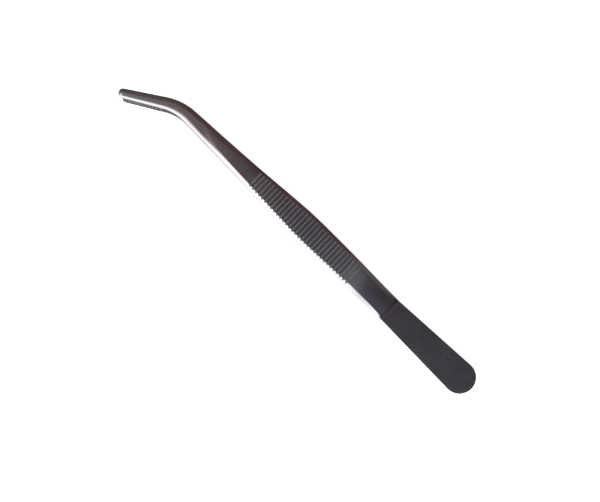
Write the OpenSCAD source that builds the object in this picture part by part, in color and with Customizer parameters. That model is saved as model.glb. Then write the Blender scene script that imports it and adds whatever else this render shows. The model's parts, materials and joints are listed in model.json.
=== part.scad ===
// Bent-tip dressing tweezers: two sprung arms welded together at the butt.
// Tool frame: X runs from the round butt end to the tips, Z is measured from the plane in which
// the tips meet, and the tips bend towards +Y. The finished part lies on its lower arm, on Z = 0.

/* [Butt] */
// Length of the welded butt, from its round end to the shoulder
butt_len = 49.2; // [46:0.1:53]
// Widest part of the butt, near its round end
butt_w = 14.4; // [12.8:0.1:15]
// Width of the butt at the shoulder
neck_w = 11.2; // [10.4:0.1:11.4]
// Thickness of one butt plate
butt_t = 2.0; // [1.8:0.1:2.4]

/* [Arms] */
// Length of the straight part, from the butt end to the start of the bend
straight_len = 169.4; // [166:0.1:174]
// Widest part of an arm, across the finger grip
grip_w = 13.5; // [12.8:0.1:15]
// Thickness of an arm at the finger grip, over the ribs
grip_t = 2.2; // [2.0:0.1:2.6]
// Thickness of the spring leaf between shoulder and grip
leaf_t = 1.05; // [0.9:0.05:1.3]
// Width of the bevel along each edge of the grip
bevel_w = 2.05; // [1.8:0.05:2.4]

/* [Grip ribs] */
// Distance from the butt end to the start of the ribs
grip_start = 69.9; // [69:0.1:74]
// Length of the ribbed grip
grip_len = 60.8; // [56:0.1:61]
// Number of cross grooves in the grip
rib_count = 32; // [26:1:34]
// Width of each groove
groove_w = 0.95; // [0.8:0.05:1.2]
// Depth of each groove
groove_depth = 0.4; // [0.25:0.01:0.45]

/* [Bent tip] */
// Angle between the tip and the arm
bend_angle = 31; // [20:1:40]
// Centreline radius of the bend
bend_r = 23.5; // [20:0.5:28]
// Length of the straight tip beyond the bend
tip_len = 20.4; // [20:0.1:24]
// Width of the jaw near its end
jaw_w = 4.2; // [4:0.1:5]
// Thickness of the jaw near its end
jaw_t = 1.2; // [1.1:0.1:1.5]
// Corner radius of the jaw's end, seen from above
tip_r = 1.8; // [1.4:0.1:1.9]
// Distance between the two tips at rest
tip_gap = 14; // [12:0.5:15]

/* [Jaw teeth] */
// Number of cross teeth inside each jaw
tooth_count = 18; // [12:1:18]
// Distance from tooth to tooth
tooth_pitch = 1.0; // [0.8:0.05:1.05]
// Depth of the groove between two teeth
tooth_depth = 0.25; // [0.15:0.01:0.3]

/* [Hidden] */
$fn = 64;

steel = "#5d5c62";
steel_dark = "#4c4b52";
weld_grey = "#77767a";

// Smallest distance of a face from the closing plane
seam = 0.02;

// The spring leaf bends about its middle: a round nose on the butt's stub sits in a hollow in the arm
hinge_x = 60.5;
nose_r = 1.2;
nose_clearance = 0.05;

// Spot welds down the middle of the butt, and the bead round its edge
spot_count = 3;
spot_r = 2.6;
spot_t = 0.9;
spot_first = 12;
spot_pitch = 14;
bead_w = 0.8;
bead_t = 0.5;

bend_len = bend_r * bend_angle * PI / 180;
bend_end = straight_len + bend_len;
arm_end = bend_end + tip_len;
rib_pitch = grip_len / rib_count;
groove_r = (groove_w * groove_w / 4 + groove_depth * groove_depth) / (2 * groove_depth);
tooth_half = 0.48 * tooth_pitch;
tooth_r = (tooth_half * tooth_half + tooth_depth * tooth_depth) / (2 * tooth_depth);
nose_drop = 0.45;
nose_len = 2.4;
wide = 2 * grip_w;

// Along the arm: its width, its inner face's distance from the closing plane, its thickness,
// the width and depth of its edge bevels, and how round those bevels are (0 flat, 1 elliptical)
width_at = [
    [butt_len, 11.4], [60, 11.95], [70, 12.7], [85, grip_w - 0.2], [101, grip_w], [115, 0.89 * grip_w],
    [131, 9.95], [146, 8.55], [straight_len, 6.75], [bend_end, 5.4], [arm_end, jaw_w]
];
inner_at = [
    [butt_len - 4, 0], [butt_len, 0], [60, 0.45], [75, 1.85], [95, 3.4], [115, 4.5],
    [135, 5.15], [155, 5.6], [straight_len, 5.95], [bend_end, 6.35], [arm_end, tip_gap / 2]
];
thick_at = [
    [butt_len, leaf_t + 0.15], [57, leaf_t], [64, leaf_t + 0.05], [75, grip_t - 0.35], [90, grip_t],
    [115, grip_t - 0.05], [135, 2.0], [155, 1.9], [straight_len, 1.8], [bend_end, 1.6], [arm_end, jaw_t]
];
bevel_at = [
    [butt_len, 0.95], [butt_len + 3.5, 1.6], [64, bevel_w + 0.2], [90, bevel_w], [115, bevel_w - 0.1],
    [135, 1.75], [155, 2.15], [straight_len, 2.35], [bend_end, 2.35], [arm_end, 2.05]
];
depth_at = [
    [butt_len, 0.5], [64, 0.6], [80, 1.0], [100, 1.15], [135, 1.15], [straight_len, 1.1],
    [bend_end, 1.0], [arm_end, 0.8]
];
round_at = [[butt_len, 0], [128, 0], [160, 1], [arm_end, 1]];

// Smooth curve through the [x, value] pairs of a table
function span(t, x, i = 0) = (i >= len(t) - 2 || x < t[i + 1][0]) ? i : span(t, x, i + 1);
function rise(t, i, j) = (t[j][1] - t[i][1]) / (t[j][0] - t[i][0]);
function tangent(t, i) = rise(t, max(i - 1, 0), min(i + 1, len(t) - 1));
function curve(t, x) =
    let (i = span(t, x), h = t[i + 1][0] - t[i][0], u = min(max((x - t[i][0]) / h, 0), 1))
    let (m0 = tangent(t, i) * h, m1 = tangent(t, i + 1) * h)
    t[i][1] * (2 * u^3 - 3 * u^2 + 1) + m0 * (u^3 - 2 * u^2 + u)
    + t[i + 1][1] * (3 * u^2 - 2 * u^3) + m1 * (u^3 - u^2);
function line(t, x) = let (i = span(t, x)) t[i][1] + rise(t, i, i + 1) * (x - t[i][0]);

// Centreline in plan at a distance s from the butt end: [x, y, heading]
function turned(s) = min(max(s - straight_len, 0) / bend_len, 1) * bend_angle;
function place(s) =
    let (a = turned(s), past = max(s - bend_end, 0))
    [min(s, straight_len) + bend_r * sin(a) + past * cos(a), bend_r * (1 - cos(a)) + past * sin(a), a];

// Quarter-round run-out over the last r of the arm
function run_out(s, r) = let (e = arm_end - s) e >= r ? 0 : r - sqrt(max(r * r - (r - e) * (r - e), 0));

function half_w(s) = curve(width_at, s) / 2 - run_out(s, tip_r);
function inner_z(s) = max(curve(inner_at, s), seam);
function outer_z(s) =
    inner_z(s) + curve(thick_at, s) - run_out(s, nose_len) * nose_drop / nose_len;

// Cross-section of the upper arm at s: [across, up] points, counter-clockwise seen from the tip
function bevel_point(w, b, z, d, q, u) = [
    w - b * ((1 - q) * u + q * (1 - cos(90 * u))),
    z - d * ((1 - q) * (1 - u) + q * (1 - sin(90 * u)))
];
function section(s) =
    let (w = half_w(s), b = min(curve(bevel_at, s), 0.92 * w), z = outer_z(s))
    let (d = curve(depth_at, s), q = line(round_at, s), zi = inner_z(s), crown = 0.06 * q)
    let (edge = [for (i = [0:3]) bevel_point(w, b, z, d, q, i / 3)])
    concat(
        [[-w, zi], [w, zi]],
        edge,
        [[0, z + crown]],
        [for (i = [3:-1:0]) [-edge[i][0], edge[i][1]]]
    );
function ring(s) =
    let (p = place(s))
    [for (q = section(s)) [p[0] - q[0] * sin(p[2]), p[1] + q[0] * cos(p[2]), q[1]]];

// Stations between two distances: every 4 mm on the straight, closer in the bend and at the end
function stations(a, b) = concat(
    [a],
    [for (s = [butt_len, butt_len + 1, butt_len + 2]) if (s > a && s < b) s],
    [for (s = [ceil(a / 4) * 4:4:straight_len - 2]) if (s > a + 0.5 && s < b - 0.5) s],
    [for (i = [0:8]) let (s = straight_len + i * bend_len / 8) if (s > a && s < b) s],
    [for (i = [1:4]) let (s = bend_end + i * tip_len / 5) if (s > a && s < b) s],
    [for (i = [0:5]) let (s = arm_end - tip_r * (1 - sin(15 * i))) if (s > a && s < b) s],
    [b]
);

module sweep(a, b) {
    rings = [for (s = stations(a, b)) ring(s)];
    n = len(rings[0]);
    last = len(rings) - 1;
    points = [for (r = rings) for (p = r) p];
    walls = [
        for (i = [0:last - 1]) for (j = [0:n - 1])
            let (k = (j + 1) % n, a = i * n, b = a + n)
            each [[a + j, b + j, b + k], [a + j, b + k, a + k]]
    ];
    ends = [[for (j = [0:n - 1]) j], [for (j = [n - 1:-1:0]) last * n + j]];
    polyhedron(points, concat(walls, ends), convexity = 6);
}

// Outline of the butt, seen from above, drawn in by inset
function butt_outline(inset) =
    let (r = butt_w / 2 - inset, c = butt_w / 2, n = neck_w / 2 - inset)
    concat(
        [for (a = [84:8:276]) [c + r * cos(a), r * sin(a)]],
        [[butt_len, -n], [butt_len, n]]
    );

module across(x, z, r) {
    translate([x, 0, z])
        rotate([90, 0, 0])
            cylinder(h = wide, r = r, center = true);
}

hinge_z = inner_z(hinge_x) + curve(thick_at, hinge_x) / 2;

module spots() {
    for (i = [0:spot_count - 1])
        translate([spot_first + i * spot_pitch, 0, -spot_t / 2])
            cylinder(h = spot_t, r = spot_r);
}

module bead() {
    translate([0, 0, -bead_t / 2])
        linear_extrude(bead_t)
            difference() {
                polygon(butt_outline(0));
                polygon(butt_outline(bead_w));
            }
}

// Stub of the spring leaf that stays with the butt, ending in the round nose
module leaf_stub() {
    intersection() {
        sweep(butt_len - 1, hinge_x + nose_r + 1);
        union() {
            translate([0, -grip_w, -1])
                cube([hinge_x, wide, 5]);
            across(hinge_x, hinge_z, nose_r);
        }
    }
}

module butt_plate() {
    difference() {
        union() {
            linear_extrude(butt_t)
                polygon(butt_outline(0));
            leaf_stub();
        }
        spots();
        bead();
    }
}

module grooves() {
    for (i = [0:rib_count - 1]) {
        x = grip_start + (i + 0.5) * rib_pitch;
        across(x, outer_z(x) + groove_r - groove_depth, groove_r);
    }
}

module teeth() {
    for (i = [0:tooth_count - 1]) {
        s = arm_end - (i + 0.75) * tooth_pitch;
        p = place(s);
        translate([p[0], p[1], 0])
            rotate([0, 0, p[2]])
                across(0, inner_z(s) - tooth_r + tooth_depth, tooth_r);
    }
}

module arm() {
    difference() {
        sweep(hinge_x, arm_end);
        across(hinge_x, hinge_z, nose_r + nose_clearance);
        grooves();
        teeth();
    }
}

// Lying attitude: the lower arm's belly and the butt's round end touch the surface
tilt = max([for (x = [grip_start:0.5:grip_start + grip_len]) atan((outer_z(x) - butt_t) / x)]);
outline = [for (s = stations(hinge_x, arm_end)) for (p = ring(s)) p];
far_x = max([for (p = outline) p[0] * cos(tilt) + p[2] * sin(tilt)]);
near_x = -butt_t * sin(tilt);
left_y = max([for (p = outline) p[1]]);
right_y = -max(grip_w, butt_w) / 2;

module lay() {
    translate([-(far_x + near_x) / 2, -(left_y + right_y) / 2, butt_t * cos(tilt)])
        rotate([0, -tilt, 0])
            children();
}

module upper_butt_plate() {
    color(steel_dark)
        lay()
            butt_plate();
}

module lower_butt_plate() {
    color(steel_dark)
        lay()
            mirror([0, 0, 1])
                butt_plate();
}

module edge_weld() {
    color(weld_grey)
        lay()
            bead();
}

module spot_welds() {
    color(weld_grey)
        lay()
            spots();
}

module upper_arm() {
    color(steel)
        lay()
            arm();
}

module lower_arm() {
    color(steel)
        lay()
            mirror([0, 0, 1])
                arm();
}

upper_butt_plate();
lower_butt_plate();
edge_weld();
spot_welds();
upper_arm();
lower_arm();
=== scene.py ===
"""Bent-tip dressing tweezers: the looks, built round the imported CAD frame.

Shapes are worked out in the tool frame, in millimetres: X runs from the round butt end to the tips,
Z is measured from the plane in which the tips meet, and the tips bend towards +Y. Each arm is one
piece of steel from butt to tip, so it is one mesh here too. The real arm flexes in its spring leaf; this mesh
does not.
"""
import json
import math

import bmesh
import bpy
import numpy as np
from mathutils import Matrix, Vector


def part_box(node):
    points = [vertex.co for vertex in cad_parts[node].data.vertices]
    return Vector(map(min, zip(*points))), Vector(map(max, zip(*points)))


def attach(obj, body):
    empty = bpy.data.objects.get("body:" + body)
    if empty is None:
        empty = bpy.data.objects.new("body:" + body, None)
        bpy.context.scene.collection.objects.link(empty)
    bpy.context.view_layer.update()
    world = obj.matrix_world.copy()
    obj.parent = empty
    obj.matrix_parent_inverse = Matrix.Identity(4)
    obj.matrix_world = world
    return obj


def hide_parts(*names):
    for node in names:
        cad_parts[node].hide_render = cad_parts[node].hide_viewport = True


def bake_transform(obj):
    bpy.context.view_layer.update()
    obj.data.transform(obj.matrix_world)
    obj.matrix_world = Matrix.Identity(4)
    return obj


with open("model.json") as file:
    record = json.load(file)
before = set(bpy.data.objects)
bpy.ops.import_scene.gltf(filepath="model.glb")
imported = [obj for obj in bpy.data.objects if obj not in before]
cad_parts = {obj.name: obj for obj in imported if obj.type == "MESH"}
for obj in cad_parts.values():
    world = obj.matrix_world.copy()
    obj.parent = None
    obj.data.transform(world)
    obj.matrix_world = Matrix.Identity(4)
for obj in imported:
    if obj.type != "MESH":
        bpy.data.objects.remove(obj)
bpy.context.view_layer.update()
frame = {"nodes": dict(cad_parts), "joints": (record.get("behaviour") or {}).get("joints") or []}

MM = 0.001

# Butt: length, radius of its round end, half-width at the shoulder, plate thickness, edge radius
BUTT_LEN = 49.2
BUTT_R = 7.2
NECK_HALF = 5.6
BUTT_T = 2.0
RIM_R = 0.06
SHOULDER_R = 0.05
ROUND_END = math.radians(84)
TAPER_START = BUTT_R * (1 + math.cos(ROUND_END))

# Arms: straight length, bend and straight tip, all along the centreline
STRAIGHT_LEN = 169.4
BEND_ANGLE = math.radians(31)
BEND_R = 23.5
TIP_LEN = 20.4
BEND_END = STRAIGHT_LEN + BEND_R * BEND_ANGLE
ARM_END = BEND_END + TIP_LEN
HINGE_X = 60.5

# Cross grooves of the grip, which leave its ribs, and cross teeth of the jaws, the first of which has
# its middle TOOTH_FIRST pitches in from the end
GRIP_START = 69.9
GRIP_LEN = 60.8
GRIP_END = GRIP_START + GRIP_LEN
RIB_COUNT = 32
RIB_PITCH = GRIP_LEN / RIB_COUNT
GROOVE_HALF = 0.475
GROOVE_DEPTH = 0.4
TOOTH_COUNT = 18
TOOTH_PITCH = 1.0
TOOTH_FIRST = 0.75
TOOTH_HALF = 0.48 * TOOTH_PITCH
TOOTH_DEPTH = 0.25

# Ends and edges: corner radius of the jaw's end, its nose, small edge radii, the weld's thickness
TIP_R = 1.8
NOSE_LEN = 2.4
NOSE_DROP = 0.45
EDGE_R = 0.13
CAP_R = 0.1
BEAD_W = 0.8
BEAD_HALF = 0.25

# Along the arm, as (distance, value) pairs: its width, its inner face's height and its thickness
WIDTH = [(BUTT_LEN, 11.4), (60, 11.95), (70, 12.7), (85, 13.3), (101, 13.5), (115, 12.02), (131, 9.95),
         (146, 8.55), (STRAIGHT_LEN, 6.75), (BEND_END, 5.4), (ARM_END, 4.2)]
INNER = [(BUTT_LEN - 4, 0), (BUTT_LEN, 0), (60, 0.45), (75, 1.85), (95, 3.4), (115, 4.5), (135, 5.15),
         (155, 5.6), (STRAIGHT_LEN, 5.95), (BEND_END, 6.35), (ARM_END, 7.0)]
THICK = [(BUTT_LEN, 1.2), (57, 1.05), (64, 1.1), (75, 1.85), (90, 2.2), (115, 2.15), (135, 2.0),
         (155, 1.9), (STRAIGHT_LEN, 1.8), (BEND_END, 1.6), (ARM_END, 1.2)]
# The bevels' width and depth
BEVEL = [(BUTT_LEN, 0.5), (BUTT_LEN + 0.7, 0.95), (BUTT_LEN + 3, 1.6), (64, 2.25), (90, 2.05),
         (115, 1.95), (135, 1.75), (155, 2.15), (STRAIGHT_LEN, 2.35), (BEND_END, 2.35), (ARM_END, 2.05)]
DEPTH = [(BUTT_LEN, 0.3), (BUTT_LEN + 3, 0.5), (64, 0.6), (80, 1.0), (100, 1.15), (135, 1.15),
         (STRAIGHT_LEN, 1.1), (BEND_END, 1.0), (ARM_END, 0.8)]
# How far the flat land's edges sag below its middle, which is what makes its reflections shade off
SAG = [(BUTT_LEN, 0.14), (64, 0.16), (GRIP_START, 0.05), (GRIP_END, 0.05), (146, 0.08), (ARM_END, 0.1)]
# The bevels' shape: 0 where they are flat, 1 where they are round
ROUND = [(BUTT_LEN, 0), (128, 0), (160, 1), (ARM_END, 1)]

# Finer shapes of the faces
BEVEL_MOST = 0.92  # the widest bevel, as a share of the half-width
ROUND_RISE = 0.06  # how far the land rises where the bevels are round
EDGE_ROLL = 0.05  # how far a flat bevel's edge rolls over
CAP_INNER = 0.6  # share of the cap's rounding that the inner face has
FOOT_DEPTH = 0.08  # the hollow at the shoulder's foot
FOOT_LEN = 0.3
CROWN = 0.02  # how far the butt's outer face falls at its sides
FALL = 0.012  # its fall towards the shoulder, per square millimetre
FALL_LEN = 2.6
REBATE_STEP = 0.04  # how wide the step of the weld's rebate is

# How softly two faces meet: land and bevel, face and groove, face and tooth
LAND_SOFT = 0.07
GROOVE_SOFT = 0.035
TOOTH_SOFT = 0.03

# The weld bead: points along each stretch of it, how far it lies in from the edge, its chamfer, the
# share of its thickness that stays upright, the spacing of its columns in its UV map, its rim's ripple
BEAD_TURNS = 90
BEAD_INSET = 0.015
BEAD_CHAMFER = 0.05
BEAD_UPRIGHT = 0.55
BEAD_COLUMN = 0.3
RIPPLE_DEPTH = 0.012
RIPPLE_PITCH = 1.1

# Marks on the steel: how far the lighter wear and painted highlight reach from an edge and from a groove's
# rim, and where the painted shade, a dark line in the shoulder's corner, lies and fades
WEAR_AND_HIGHLIGHT_EDGE = 0.25
WEAR_AND_HIGHLIGHT_RIM = 0.12
PAINTED_SHADE_AT = 0.25
PAINTED_SHADE_REACH = 0.6

UV_MM = 10  # millimetres to one unit of the UV maps
SHARP_ANGLE = math.radians(38)
FAR_OFF = 1e3  # a height that no part of the arm reaches
SAME_POINT = 2e-7  # in metres, as is the next
NO_EDGE = 1e-8


# ---------------------------------------------------------------- tool frame

def tool_frame():
    """The tool frame's axes as columns, in metres per millimetre, and its origin, from the two hinges."""
    at = {j["name"]: Vector(j["pos_m"]) for j in frame["joints"]}
    upper, lower = at["upper_arm_flex"], at["lower_arm_flex"]
    up = (upper - lower).normalized()
    along = Vector((up.z, 0, -up.x))
    origin = (upper + lower) / 2 - along * HINGE_X * MM
    return np.column_stack([along, Vector((0, 1, 0)), up]) * MM, np.array(origin)


AXES, ORIGIN = tool_frame()


def to_row(points):
    """Tool-frame points in millimetres, as row-frame points in metres."""
    return np.asarray(points, float) @ AXES.T + ORIGIN


# ---------------------------------------------------------------- curves along the arm

def curve(table, x):
    """Smooth curve through a table's pairs, flat beyond its ends."""
    xs, ys = np.array(table, float).T
    slope = np.gradient(ys, xs)
    slope[1:-1] = (ys[2:] - ys[:-2]) / (xs[2:] - xs[:-2])
    i = np.clip(np.searchsorted(xs, x, side="right") - 1, 0, len(xs) - 2)
    h = xs[i + 1] - xs[i]
    u = np.clip((x - xs[i]) / h, 0, 1)
    return (ys[i] * (2 * u**3 - 3 * u**2 + 1) + slope[i] * h * (u**3 - 2 * u**2 + u)
            + ys[i + 1] * (3 * u**2 - 2 * u**3) + slope[i + 1] * h * (u**3 - u**2))


def straight(table, x):
    """Straight lines through a table's pairs."""
    xs, ys = np.array(table, float).T
    return np.interp(x, xs, ys)


def quarter(gap, radius):
    """How far a rounded edge falls short at a distance gap inside it: radius at the edge, 0 past it."""
    inside = np.clip(radius - gap, 0, radius)
    return radius - np.sqrt(np.maximum(radius**2 - inside**2, 0))


def soft_min(a, b, width):
    """The lower of a and b, with the corner between them rounded."""
    h = np.clip(0.5 + 0.5 * (b - a) / width, 0, 1)
    return b * (1 - h) + a * h - width * h * (1 - h)


def centreline(s):
    """x, y and heading of the arm's centreline at a distance s from the butt end."""
    a = np.clip((s - STRAIGHT_LEN) / (BEND_R * BEND_ANGLE), 0, 1) * BEND_ANGLE
    past = np.maximum(s - BEND_END, 0)
    x = np.minimum(s, STRAIGHT_LEN) + BEND_R * np.sin(a) + past * np.cos(a)
    y = BEND_R * (1 - np.cos(a)) + past * np.sin(a)
    return x, y, a


def inner_z(s):
    """Height of the inner face's middle."""
    return np.maximum(curve(INNER, s), 0)


def outer_z(s):
    """Height of the outer face's middle, falling at the nose."""
    return inner_z(s) + curve(THICK, s) - quarter(ARM_END - s, NOSE_LEN) * NOSE_DROP / NOSE_LEN


def arm_half(s):
    """Half-width of the arm, with the jaw end's round corners."""
    return curve(WIDTH, s) / 2 - quarter(ARM_END - s, TIP_R) - quarter(ARM_END - s, CAP_R)


def butt_half(x):
    """Half-width of the butt: a round end and two straight, slightly tapered sides."""
    taper_half = BUTT_R * math.sin(ROUND_END)
    tapered = np.interp(x, [TAPER_START, BUTT_LEN], [taper_half, NECK_HALF])
    rounded = np.sqrt(np.maximum(BUTT_R**2 - (x - BUTT_R) ** 2, 0))
    return np.where(x < TAPER_START, rounded, tapered)


# ---------------------------------------------------------------- grooves

def scallop(offset, half, depth):
    """Depth of a round-bottomed groove at an offset from its middle, below 0 outside it."""
    radius = (half**2 + depth**2) / (2 * depth)
    return depth - radius + np.sqrt(np.maximum(radius**2 - offset**2, 0))


def groove_floor(s):
    """Height of the ribbed grip's groove floors, and far above the arm elsewhere."""
    rib = np.floor((s - GRIP_START) / RIB_PITCH)
    middle = GRIP_START + (rib + 0.5) * RIB_PITCH
    floor = outer_z(middle) - scallop(s - middle, GROOVE_HALF, GROOVE_DEPTH)
    return np.where((rib >= 0) & (rib < RIB_COUNT), floor, FAR_OFF)


def tooth_roof(s):
    """Height of the jaw's tooth grooves in the inner face, and far below the arm elsewhere."""
    tooth = np.floor((ARM_END - s) / TOOTH_PITCH - TOOTH_FIRST + 0.5)
    middle = ARM_END - (tooth + TOOTH_FIRST) * TOOTH_PITCH
    roof = inner_z(middle) + scallop(s - middle, TOOTH_HALF, TOOTH_DEPTH)
    return np.where((tooth >= 0) & (tooth < TOOTH_COUNT), roof, -FAR_OFF)


# ---------------------------------------------------------------- cross-sections

# Columns of a half section. From the edge inward over the outer face: first in mm, then as shares of
# the bevel, then as shares of what is left of the land. From the edge inward over the inner face: mm.
EDGE_STEPS = [0.0, 0.02, 0.06, EDGE_R]
BEVEL_STEPS = [0.1, 0.16, 0.24, 0.33, 0.42, 0.5, 0.58, 0.66, 0.73, 0.79, 0.85, 0.9, 0.94, 0.98,
               1.02, 1.07, 1.14]
LAND_STEPS = [0.75, 0.5, 0.25, 0.0]
WALL_STEPS = [0.25, 0.5, 0.75]
INNER_STEPS = [0.0, 0.04, EDGE_R, 0.3, BEAD_W - REBATE_STEP / 2, BEAD_W + REBATE_STEP / 2]
INNER_SHARES = [0.75, 0.5, 0.25, 0.0]
# Where the section is narrow, its edge, bevel and inner columns keep to these shares of the half-width
EDGE_SHARE = 0.08
BEVEL_SHARE = 0.8
INNER_SHARE = 0.4


def outer_columns(half, bevel):
    """Distances from the centreline of the outer face's columns, edge first, for each station."""
    reach = np.minimum(bevel, BEVEL_SHARE * half)[:, None]
    near = half[:, None] - np.minimum(np.array(EDGE_STEPS)[None], EDGE_SHARE * half[:, None])
    over = half[:, None] - reach * np.array(BEVEL_STEPS)[None]
    land = over[:, -1:] * np.array(LAND_STEPS)[None]
    return np.concatenate([near, over, land], 1)


def inner_columns(half):
    """The same for the inner face, edge first."""
    near = half[:, None] - np.minimum(np.array(INNER_STEPS)[None], INNER_SHARE * half[:, None])
    return np.concatenate([near, near[:, -1:] * np.array(INNER_SHARES)[None]], 1)


def arm_outer(s, n, half):
    """Height of the arm's outer face: a flat land between two bevels, cut by the grooves."""
    bevel = np.minimum(curve(BEVEL, s), BEVEL_MOST * half)
    t = np.clip((half - n) / bevel, 0, 3)
    q = straight(ROUND, s)
    arc = 1 - np.sqrt(np.maximum(1 - (1 - np.minimum(t, 1)) ** 2, 0))
    top = outer_z(s)
    land = top + ROUND_RISE * q - curve(SAG, s) * (n / half) ** 2
    slope = top - curve(DEPTH, s) * ((1 - q) * (1 - t) + q * arc)
    rolled = EDGE_ROLL * (1 - q) * np.clip(1 - (half - n) / EDGE_R, 0, 1) ** 2
    foot = FOOT_DEPTH * np.exp(-(((s - BUTT_LEN - FOOT_LEN) / FOOT_LEN) ** 2))
    body = soft_min(land, slope, LAND_SOFT) - rolled - foot * np.clip(t, 0, 1)
    return soft_min(body, groove_floor(s), GROOVE_SOFT) - quarter(ARM_END - s, CAP_R)


def arm_inner(s, n, half):
    """Height of the arm's inner face, with its rolled edge and the jaw's teeth."""
    face = inner_z(s) + quarter(half - n, EDGE_R) + CAP_INNER * quarter(ARM_END - s, CAP_R)
    return -soft_min(-face, -tooth_roof(s), TOOTH_SOFT)


def butt_gap(x, n, half):
    """Distance from a point of the butt to its outline."""
    rounded = BUTT_R - np.hypot(x - BUTT_R, n)
    return np.maximum(np.where(x < BUTT_R, rounded, half - n), 0)


def butt_outer(x, n, half):
    """Height of the butt's outer face, with its rounded rim and shoulder."""
    gap = butt_gap(x, n, half)
    slope = FALL * np.maximum(FALL_LEN - (BUTT_LEN - x), 0) ** 2
    crown = CROWN * (n / BUTT_R) ** 2
    return BUTT_T - quarter(gap, RIM_R) - quarter(BUTT_LEN - x, SHOULDER_R) - slope - crown


def butt_inner(x, n, half):
    """Height of the butt's inner face: flat, with a rebate for the weld along the outline."""
    gap = butt_gap(x, n, half)
    return BEAD_HALF * np.clip((BEAD_W - gap) / REBATE_STEP + 0.5, 0, 1)


def half_rings(s, half, bevel, outer, inner):
    """Half-sections at stations s, from the inner middle round the edge to the outer middle, as
    distances from the centreline and heights."""
    out_n = outer_columns(half, bevel)
    in_n = inner_columns(half)
    column_s = s[:, None]
    out_z = outer(column_s, out_n, half[:, None])
    in_z = inner(column_s, in_n, half[:, None])
    top = out_z[:, :1] - LAND_SOFT
    foot = in_z[:, :1]
    wall_z = foot + (top - foot) * np.array(WALL_STEPS)[None]
    wall_n = np.repeat(half[:, None], len(WALL_STEPS), 1)
    n = np.concatenate([in_n[:, ::-1], wall_n, out_n], 1)
    z = np.concatenate([in_z[:, ::-1], wall_z, out_z], 1)
    return n, z


# ---------------------------------------------------------------- stations

# Places past the shoulder, in mm, and places round the middle of a groove or tooth, as shares of the
# pitch, then the step where the arm is plain and the shortest step kept
SHOULDER_STEPS = [0, 0.08, 0.16, 0.24, 0.32, 0.4, 0.5, 0.62, 0.8, 1.1, 1.5, 2, 2.6, 3.4]
RIB_STEPS = [-0.5, -0.36, -0.28, -0.255, -0.23, -0.19, -0.14, -0.07, 0, 0.07, 0.14, 0.19, 0.23, 0.255,
             0.28, 0.36]
TOOTH_STEPS = [-0.5, -0.45, -0.36, -0.22, -0.08, 0.08, 0.22, 0.36, 0.45]
PLAIN_STEP = 0.8
NARROWEST_STEP = 0.012


def butt_stations():
    """Close together round the butt's end and at the shoulder."""
    turn = np.radians(np.concatenate([np.arange(0, 24, 2.0), np.arange(24, 96, 4.0)]))
    side = np.linspace(TAPER_START, BUTT_LEN - 3, 16)
    fall = np.linspace(BUTT_LEN - FALL_LEN, BUTT_LEN - 0.2, 9)
    rim = BUTT_LEN - SHOULDER_R * (1 - np.sin(np.radians([0, 25, 50, 70, 90])))
    return np.concatenate([BUTT_R * (1 - np.cos(turn)), side, fall, rim])


def arm_stations():
    """Close together at the shoulder, over each rib and tooth, and round the jaw's end."""
    shoulder = BUTT_LEN + np.array(SHOULDER_STEPS)
    leaf = np.arange(BUTT_LEN + 4, GRIP_START, PLAIN_STEP)
    ribs = GRIP_START + (np.arange(RIB_COUNT)[:, None] + 0.5 + np.array(RIB_STEPS)) * RIB_PITCH
    front = np.arange(GRIP_END, STRAIGHT_LEN, PLAIN_STEP)
    bend = np.linspace(STRAIGHT_LEN, BEND_END, 28)
    jaw = np.linspace(BEND_END, BEND_END + 4, 5)
    teeth = np.arange(TOOTH_COUNT)[:, None] + TOOTH_FIRST + np.array(TOOTH_STEPS)
    teeth = ARM_END - teeth * TOOTH_PITCH
    nose = ARM_END - TIP_R * (1 - np.sin(np.radians(np.arange(0, 91, 5.0))))
    cap = ARM_END - CAP_R * (1 - np.sin(np.radians([0, 30, 60])))
    every = np.concatenate([shoulder, leaf, ribs.ravel(), front, bend, jaw, teeth.ravel(), nose, cap])
    every = np.unique(np.clip(every, BUTT_LEN, ARM_END))
    keep = np.concatenate([[True], np.diff(every) > NARROWEST_STEP])
    keep[-1] = True
    return every[keep]


# ---------------------------------------------------------------- meshes

def ring_faces(rings, columns):
    """Quads between closed rings of columns points each."""
    i = np.arange(rings - 1)[:, None] * columns
    j = np.arange(columns)[None]
    k = (j + 1) % columns
    return np.stack([i + j, i + columns + j, i + columns + k, i + k], -1).reshape(-1, 4)


def make_object(name, points, faces, material):
    """A smooth-shaded object with sharp edges only where faces meet at a real corner."""
    mesh = bpy.data.meshes.new(name)
    mesh.from_pydata([tuple(p) for p in points], [], [tuple(f) for f in faces])
    mesh.update()
    obj = bpy.data.objects.new(name, mesh)
    bpy.context.scene.collection.objects.link(obj)
    mesh.materials.append(material)
    mesh.polygons.foreach_set("use_smooth", [True] * len(mesh.polygons))
    mesh.set_sharp_from_angle(angle=SHARP_ANGLE)
    return obj


def add_uv(mesh, values):
    """A UV map from one pair of numbers per vertex."""
    layer = mesh.uv_layers.new(name="along")
    index = np.zeros(len(mesh.loops), np.int32)
    mesh.loops.foreach_get("vertex_index", index)
    layer.data.foreach_set("uv", values[index].astype(np.float32).ravel())


def add_value(mesh, name, values):
    """A named number on each vertex."""
    layer = mesh.attributes.new(name, "FLOAT", "POINT")
    layer.data.foreach_set("value", values.astype(np.float32))


def whole(half_values, sign):
    """A half section's values, followed by the other half's, whose middle columns aren't repeated."""
    return np.concatenate([half_values, sign * half_values[:, -2:0:-1]], 1)


def arm_arrays():
    """Stations, distances from the centreline and heights of every ring of the upper arm."""
    back, front = butt_stations(), arm_stations()
    rim = np.full(len(back), RIM_R)
    n0, z0 = half_rings(back, butt_half(back), rim, butt_outer, butt_inner)
    n1, z1 = half_rings(front, arm_half(front), curve(BEVEL, front), arm_outer, arm_inner)
    s = np.concatenate([back, front])
    return s, whole(np.concatenate([n0, n1]), -1), whole(np.concatenate([z0, z1]), 1)


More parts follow.
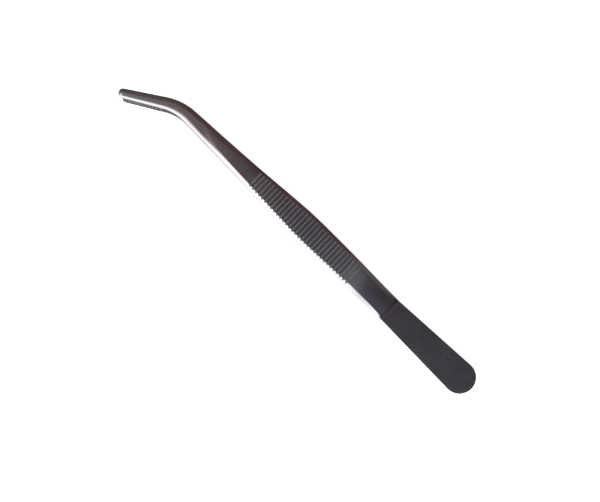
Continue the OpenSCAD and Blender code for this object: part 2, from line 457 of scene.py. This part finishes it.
def wear_and_highlight_of(s, n):
    """How much lighter each point is painted, for rubbed metal and as a painted highlight: 1 along the edges
    and on the grooves' rims, 0 away from them.
    """
    half = np.abs(n).max(1, keepdims=True)
    edge = np.clip(1 - (half - np.abs(n)) / WEAR_AND_HIGHLIGHT_EDGE, 0, 1)
    in_grip = (s > GRIP_START) & (s < GRIP_END)
    offset = np.abs(((s - GRIP_START) / RIB_PITCH) % 1 - 0.5) * RIB_PITCH - GROOVE_HALF
    rim = np.where(in_grip, np.clip(1 - np.abs(offset) / WEAR_AND_HIGHLIGHT_RIM, 0, 1), 0)[:, None]
    return np.clip(edge + rim * (n != 0), 0, 1)


def arm_points(s, n, z, side):
    """The rings' points, set out along the centreline. side is 1 for the upper arm, -1 for the lower."""
    x, y, a = (value[:, None] for value in centreline(s))
    points = np.stack([x - n * np.sin(a), y + n * np.cos(a), side * z], -1)
    return to_row(points.reshape(-1, 3))


def arm_faces(rings, columns, side):
    """The faces between the rings, and one over the jaw's end, all facing out."""
    faces = ring_faces(rings, columns)
    end = np.arange((rings - 1) * columns, rings * columns)
    if side > 0:
        faces = faces[:, ::-1]
    else:
        end = end[::-1]
    return [*faces.tolist(), end.tolist()]


def make_arm(name, side, material):
    """One whole arm, from butt to jaw, with what its material needs to know."""
    s, n, z = arm_arrays()
    obj = make_object(name, arm_points(s, n, z, side), arm_faces(*n.shape, side), material)
    step = np.hypot(np.diff(n, axis=1, prepend=n[:, :1]), np.diff(z, axis=1, prepend=z[:, :1]))
    around = np.cumsum(step, 1)
    along = np.repeat(s[:, None], n.shape[1], 1)
    add_uv(obj.data, np.stack([along, around], -1).reshape(-1, 2) / UV_MM)
    # Lighter along the edges and the ribs' groove rims, partly wear and partly a painted highlight
    add_value(obj.data, "wear_and_highlight", wear_and_highlight_of(s, n).ravel())
    # Painted shade: a dark line across the leaf in the shoulder's corner
    add_value(obj.data, "painted_shade", np.exp(-(((along - BUTT_LEN - PAINTED_SHADE_AT) / PAINTED_SHADE_REACH) ** 2)).ravel())
    return obj


def close_pole(obj):
    """Joins the points of the butt end's first ring, which has no width, and drops flat faces."""
    bm = bmesh.new()
    bm.from_mesh(obj.data)
    bmesh.ops.remove_doubles(bm, verts=bm.verts, dist=SAME_POINT)
    bmesh.ops.dissolve_degenerate(bm, edges=bm.edges, dist=NO_EDGE)
    bmesh.ops.recalc_face_normals(bm, faces=bm.faces)
    bm.to_mesh(obj.data)
    bm.free()
    obj.data.set_sharp_from_angle(angle=SHARP_ANGLE)


def outline_points(inset, turns):
    """Points round the butt's outline, from one shoulder corner to the other, drawn in by inset."""
    angle = np.linspace(ROUND_END, 2 * math.pi - ROUND_END, turns)
    r = BUTT_R - inset
    arc = np.stack([BUTT_R + r * np.cos(angle), r * np.sin(angle)], -1)
    side = np.linspace(0, 1, turns)[1:, None]
    end = np.array([[BUTT_LEN, -(NECK_HALF - inset)]])
    lower = arc[-1] + (end - arc[-1]) * side
    upper = lower[::-1] * [1, -1]
    return np.concatenate([upper, arc, lower])


def bead_points():
    """The weld's rings, from one shoulder corner round the butt to the other, and the run along them."""
    rim = outline_points(BEAD_INSET, BEAD_TURNS)
    core = outline_points(BEAD_W, BEAD_TURNS)
    run = np.concatenate([[0], np.cumsum(np.linalg.norm(np.diff(rim, axis=0), axis=1))])
    ripple = RIPPLE_DEPTH * (1 + np.sin(run * 2 * math.pi / RIPPLE_PITCH)) / 2
    inward = core - rim
    inward /= np.linalg.norm(inward, axis=1, keepdims=True)
    rows = []
    for depth, z in ((BEAD_CHAMFER, -1), (0, -BEAD_UPRIGHT), (0, BEAD_UPRIGHT), (BEAD_CHAMFER, 1)):
        xy = rim + inward * (ripple + depth)[:, None]
        rows.append(np.column_stack([xy, np.full(len(xy), z * BEAD_HALF)]))
    for z in (1, -1):
        rows.append(np.column_stack([core, np.full(len(core), z * BEAD_HALF)]))
    return np.stack(rows, 1), run


def make_bead(material):
    """The weld round the butt's edge, ground flush, with a faint ripple left by the torch."""
    points, run = bead_points()
    rings, columns = points.shape[:2]
    last = (rings - 1) * columns
    faces = ring_faces(rings, columns).tolist()
    faces.append(list(range(columns)))
    faces.append(list(range(last, last + columns))[::-1])
    obj = make_object("edge_weld_bead", to_row(points.reshape(-1, 3)), faces, material)
    around = np.repeat(run[:, None], columns, 1)
    across = np.repeat(np.arange(columns)[None] * BEAD_COLUMN, rings, 0)
    add_uv(obj.data, np.stack([around, across], -1).reshape(-1, 2) / UV_MM)
    return obj


# ---------------------------------------------------------------- node trees

class Nodes:
    """A node tree, with short ways to add and join nodes."""

    def __init__(self, tree):
        self.tree = tree

    def add(self, kind, inputs=None, **settings):
        """A new node. An input is either a number or colour, or the socket that feeds it."""
        node = self.tree.nodes.new(kind)
        for key, value in settings.items():
            setattr(node, key, value)
        for key, value in (inputs or {}).items():
            if isinstance(value, bpy.types.NodeSocket):
                self.tree.links.new(value, node.inputs[key])
            else:
                node.inputs[key].default_value = value
        return node

    def noise(self, vector, scale, detail, roughness):
        return self.add("ShaderNodeTexNoise", {"Vector": vector, "Scale": scale, "Detail": detail,
                                               "Roughness": roughness}).outputs["Fac"]

    def stretched(self, source, scale):
        return self.add("ShaderNodeMapping", {"Vector": source, "Scale": scale}).outputs["Vector"]

    def ramp(self, value, low, high, from_low=0.0, from_high=1.0):
        """From low to high as value goes from from_low to from_high."""
        return self.add("ShaderNodeMapRange", {"Value": value, "From Min": from_low, "From Max": from_high,
                                               "To Min": low, "To Max": high}).outputs["Result"]

    def step(self, value, low, high):
        """From 0 to 1 as value goes from low to high, starting and stopping softly."""
        return self.add("ShaderNodeMapRange", {"Value": value, "From Min": low, "From Max": high},
                        interpolation_type="SMOOTHSTEP").outputs["Result"]

    def total(self, a, b):
        return self.add("ShaderNodeMath", {0: a, 1: b}, operation="ADD").outputs[0]

    def mix(self, factor, a, b, blend="MIX"):
        return self.add("ShaderNodeMix", {0: factor, 6: a, 7: b}, data_type="RGBA",
                        blend_type=blend).outputs[2]

    def colours(self, value, stops):
        """Colours that follow a value from -1 to 1 through (value, colour) stops."""
        node = self.add("ShaderNodeValToRGB", {"Fac": self.ramp(value, 0.0, 1.0, -1.0, 1.0)})
        node.color_ramp.interpolation = "EASE"
        elements = node.color_ramp.elements
        for i, (position, colour) in enumerate(stops):
            element = elements[i] if i < 2 else elements.new(1.0)
            element.position = (position + 1) / 2
            element.color = (*colour, 1)
        return node.outputs["Color"]

    def bump(self, height, distance, strength):
        return self.add("ShaderNodeBump", {"Height": height, "Distance": distance,
                                           "Strength": strength}).outputs["Normal"]


class Surface(Nodes):
    """A material: one Principled shader and the nodes that feed it."""

    def __init__(self, name):
        self.material = bpy.data.materials.new(name)
        self.material.use_nodes = True
        super().__init__(self.material.node_tree)
        self.shader = self.tree.nodes["Principled BSDF"]

    def feed(self, socket, value):
        self.tree.links.new(value, self.shader.inputs[socket])


# ---------------------------------------------------------------- materials

def steel_material():
    """Satin stainless steel: polishing lines along the arm, faint smudges, edges and rib rims painted
    lighter, partly rubbed metal and partly a painted highlight, and a painted shade line in the shoulder's
    corner.
    """
    m = Surface("satin_steel")
    uv = m.add("ShaderNodeUVMap", uv_map="along").outputs["UV"]
    lines = m.noise(m.stretched(uv, (1, 60, 1)), 1.5, 6.0, 0.75)
    hairs = m.noise(m.stretched(uv, (4, 120, 1)), 3.0, 3.0, 0.7)
    smudges = m.noise(m.stretched(uv, (1, 2, 1)), 0.8, 3.0, 0.5)
    wear_and_highlight = m.add("ShaderNodeAttribute", attribute_name="wear_and_highlight").outputs["Fac"]
    painted_shade = m.add("ShaderNodeAttribute", attribute_name="painted_shade").outputs["Fac"]
    tone = m.mix(smudges, (0.485, 0.48, 0.495, 1), (0.515, 0.51, 0.515, 1))
    lined = m.mix(m.ramp(hairs, 0.0, 0.3, 0.45, 0.75), tone, (0.58, 0.575, 0.575, 1))
    # Wear and painted highlight: the edges and the ribs' groove rims are painted lighter
    worn_and_highlit = m.mix(m.ramp(wear_and_highlight, 0, 0.6), lined, (0.66, 0.65, 0.645, 1))
    # Painted shade: the steel turns near black along the line in the shoulder's corner
    m.feed("Base Color", m.mix(m.ramp(painted_shade, 0, 0.9), worn_and_highlit, (0.1, 0.1, 0.11, 1)))
    m.feed("Roughness", m.total(m.ramp(smudges, 0.165, 0.2, 0.3, 0.7), m.ramp(lines, -0.02, 0.03, 0.3, 0.7)))
    m.feed("Normal", m.bump(hairs, 0.001 * MM, 0.4))
    m.shader.inputs["Metallic"].default_value = 1.0
    m.shader.inputs["Anisotropic"].default_value = 0.3
    return m.material


def weld_material():
    """Ground weld metal: duller and coarser than the arms, with grinding marks across it."""
    m = Surface("ground_weld")
    uv = m.add("ShaderNodeUVMap", uv_map="along").outputs["UV"]
    marks = m.noise(m.stretched(uv, (60, 4, 1)), 5.0, 4.0, 0.65)
    patches = m.noise(m.stretched(uv, (3, 3, 1)), 3.0, 4.0, 0.6)
    m.feed("Base Color", m.mix(patches, (0.36, 0.35, 0.35, 1), (0.5, 0.49, 0.48, 1)))
    m.feed("Roughness", m.ramp(marks, 0.3, 0.5))
    m.feed("Normal", m.bump(marks, 0.008 * MM, 0.6))
    m.shader.inputs["Metallic"].default_value = 1.0
    return m.material


def nugget_material():
    """Fused metal of the spot welds, between the butt plates."""
    m = Surface("fused_metal")
    place = m.add("ShaderNodeTexCoord").outputs["Object"]
    grain = m.noise(place, 2500.0, 5.0, 0.6)
    m.feed("Base Color", m.mix(grain, (0.3, 0.29, 0.29, 1), (0.5, 0.49, 0.48, 1)))
    m.feed("Roughness", m.ramp(grain, 0.4, 0.6))
    m.feed("Normal", m.bump(grain, 0.01 * MM, 0.5))
    m.shader.inputs["Metallic"].default_value = 1.0
    return m.material


def floor_material():
    """Plain matt white. It glows for the camera, and hardly at all for the steel that mirrors it."""
    m = Surface("white_floor")
    place = m.add("ShaderNodeTexCoord").outputs["Object"]
    grain = m.noise(place, 30.0, 3.0, 0.5)
    seen = m.add("ShaderNodeLightPath").outputs["Is Camera Ray"]
    m.feed("Base Color", m.mix(grain, (0.93, 0.93, 0.935, 1), (0.95, 0.95, 0.95, 1)))
    m.feed("Emission Strength", m.ramp(seen, 0.15, 0.95))
    m.shader.inputs["Emission Color"].default_value = (1, 1, 1, 1)
    m.shader.inputs["Roughness"].default_value = 0.9
    m.shader.inputs["Specular IOR Level"].default_value = 0.1
    return m.material


# ---------------------------------------------------------------- object

def finish_cad_nodes(material):
    """The spot welds stay as the CAD made them, with a material of their own."""
    node = frame["nodes"]["spot_welds"]
    node.data.materials.clear()
    node.data.materials.append(material)


def build_object():
    """Both arms and the welds that join them."""
    steel = steel_material()
    weld = weld_material()
    for name, side in (("upper", 1), ("lower", -1)):
        arm = make_arm(name + "_spring_arm", side, steel)
        close_pole(arm)
        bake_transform(arm)
        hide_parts(name + "_butt_plate", name + "_arm")
    bead = make_bead(weld)
    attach(bead, "butt")
    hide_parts("edge_weld")
    finish_cad_nodes(nugget_material())


# ---------------------------------------------------------------- stage, light and camera

FLOOR_HALF = 6.0

# The soft light, in metres and watts
KEY_PLACE = (-0.2, 1.2, 1.0)
KEY_SIZE = (1.8, 0.9)
KEY_POWER = 1.0
KEY_COLOUR = (1.0, 0.995, 0.99)

# The camera: directions towards it and up its picture, the point aimed at in the tool frame in
# millimetres, that point's height as a share of the upper arm's, its distance in metres and its lens
VIEW_BACK = Vector((-0.0796, 0.0206, 0.9966))
VIEW_UP = Vector((0.6939, -0.7190, 0.0389))
VIEW_CENTRE = (94.69, 8.6)
VIEW_HEIGHT = 0.385
VIEW_DISTANCE = 0.671
LENS = 92.62
SENSOR = 36.0

# The studio as the steel sees it. ALONG runs from the butt's end of the room to the tips', ACROSS from
# the side the tips bend away from to the side they bend towards, where the big soft light stands. On
# the side they bend away from, the FAR colours take over, each in its stretch of the room's length.
ALONG = [(-1.0, (0.6, 0.6, 0.62)), (-0.55, (0.4, 0.4, 0.42)), (-0.33, (0.066, 0.068, 0.09)),
         (-0.17, (0.066, 0.064, 0.088)), (-0.12, (0.066, 0.063, 0.077)), (-0.07, (0.045, 0.042, 0.075)),
         (0.0, (0.03, 0.026, 0.036)), (0.04, (0.045, 0.035, 0.04)), (0.075, (0.18, 0.145, 0.14)),
         (0.12, (0.44, 0.35, 0.29)), (0.2, (0.3, 0.25, 0.22)), (0.32, (0.075, 0.077, 0.076)),
         (0.5, (0.07, 0.072, 0.071)), (1.0, (0.5, 0.5, 0.5))]
ACROSS = [(-1.0, 0.5), (-0.3, 0.5), (-0.1, 0.6), (0.0, 1.0), (0.06, 1.7), (0.12, 2.5), (0.3, 5.0), (1.0, 5.0)]
ACROSS_MOST = 5.0
FAR_BUTT = [(-1.0, (0.08, 0.05, 0.055)), (-0.8, (0.13, 0.064, 0.074)), (-0.6, (0.204, 0.165, 0.16)),
            (-0.3, (0.074, 0.054, 0.064)), (-0.1, (0.07, 0.06, 0.066))]
FAR_FRONT = [(-1.0, (0.08, 0.04, 0.05)), (-0.8, (0.13, 0.064, 0.074)), (-0.3, (0.12, 0.057, 0.068)),
             (-0.08, (0.145, 0.09, 0.095))]
FAR_TIPS = [(-1.0, (0.06, 0.062, 0.06)), (-0.8, (0.07, 0.07, 0.068)), (-0.5, (0.12, 0.11, 0.105)),
            (-0.15, (0.16, 0.14, 0.13))]
KEY_GLOW = (1.85, 1.85, 1.9, 1)
PAST_KEY_FRONT = (0.07, 0.072, 0.07, 1)
PAST_KEY_BACK = (0.2, 0.2, 0.21, 1)
HORIZON_FAR = (0.1, 0.085, 0.088, 1)
HORIZON_KEY = (1.0, 1.0, 1.02, 1)
BACKDROP = (0.97, 0.97, 0.975, 1)


def make_floor():
    """A white floor for the tweezers to lie on."""
    mesh = bpy.data.meshes.new("floor")
    size = FLOOR_HALF
    corners = [(-size, -size, 0), (size, -size, 0), (size, size, 0), (-size, size, 0)]
    mesh.from_pydata(corners, [], [(0, 1, 2, 3)])
    obj = bpy.data.objects.new("floor", mesh)
    bpy.context.scene.collection.objects.link(obj)
    mesh.materials.append(floor_material())


def make_key_light():
    """One large soft light, pointing at the middle of the tweezers."""
    data = bpy.data.lights.new("key", "AREA")
    data.shape = "RECTANGLE"
    data.size, data.size_y = KEY_SIZE
    data.energy = KEY_POWER
    data.color = KEY_COLOUR
    obj = bpy.data.objects.new("key", data)
    bpy.context.scene.collection.objects.link(obj)
    obj.location = KEY_PLACE
    obj.rotation_mode = "QUATERNION"
    obj.rotation_quaternion = (-Vector(KEY_PLACE)).to_track_quat("-Z", "Y")


def ceiling_colours(w, x, y):
    """What hangs over the tweezers, and the dark walls on the side the tips bend away from."""
    across = [(place, (value / ACROSS_MOST,) * 3) for place, value in ACROSS]
    near = w.mix(1.0, w.colours(x, ALONG), w.colours(y, across), "MULTIPLY")
    near = w.mix(1.0, near, (ACROSS_MOST, ACROSS_MOST, ACROSS_MOST, 1), "MULTIPLY")
    far = w.mix(w.step(x, -0.05, 0.05), w.colours(y, FAR_BUTT), w.colours(y, FAR_FRONT))
    far = w.mix(w.step(x, 0.12, 0.3), far, w.colours(y, FAR_TIPS))
    return w.mix(w.step(y, -0.04, -0.16), near, far)


def make_world():
    """A dim studio: cool behind the butt, warm over the tips, brown on one side and bright on the other.
    The camera itself sees a plain pale backdrop."""
    world = bpy.data.worlds.new("studio")
    bpy.context.scene.world = world
    world.use_nodes = True
    w = Nodes(world.node_tree)
    direction = w.add("ShaderNodeTexCoord").outputs["Generated"]
    parts = w.add("ShaderNodeSeparateXYZ", {"Vector": direction}).outputs
    x, y, z = parts["X"], parts["Y"], parts["Z"]
    key = w.mix(w.step(x, 0.25, 0.5), KEY_GLOW, PAST_KEY_FRONT)
    key = w.mix(w.step(x, -0.48, -0.62), key, PAST_KEY_BACK)
    lit = w.mix(w.step(y, 0.28, 0.5), ceiling_colours(w, x, y), key)
    horizon = w.mix(w.step(y, 0.1, 0.5), HORIZON_FAR, HORIZON_KEY)
    shown = w.mix(w.step(z, 0.22, 0.1), lit, horizon)
    seen = w.add("ShaderNodeLightPath").outputs["Is Camera Ray"]
    w.tree.links.new(w.mix(seen, shown, BACKDROP), w.tree.nodes["Background"].inputs["Color"])


def make_camera():
    """Above the tweezers, leaning a little towards the butt, with the tips at the upper left."""
    data = bpy.data.cameras.new("camera")
    data.sensor_width = SENSOR
    data.lens = LENS
    obj = bpy.data.objects.new("camera", data)
    bpy.context.scene.collection.objects.link(obj)
    target = to_row([*VIEW_CENTRE, 0])
    aim = Vector((target[0], target[1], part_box("upper_arm")[1].z * VIEW_HEIGHT))
    back = VIEW_BACK.normalized()
    right = VIEW_UP.cross(back).normalized()
    turn = Matrix((right, back.cross(right), back)).transposed()
    obj.matrix_world = Matrix.Translation(aim + back * VIEW_DISTANCE) @ turn.to_4x4()
    bpy.context.scene.camera = obj


def build_stage():
    """Floor, room, light and camera."""
    make_floor()
    make_world()
    make_key_light()
    make_camera()
    bpy.context.scene.view_settings.view_transform = "Standard"


build_stage()
build_object()
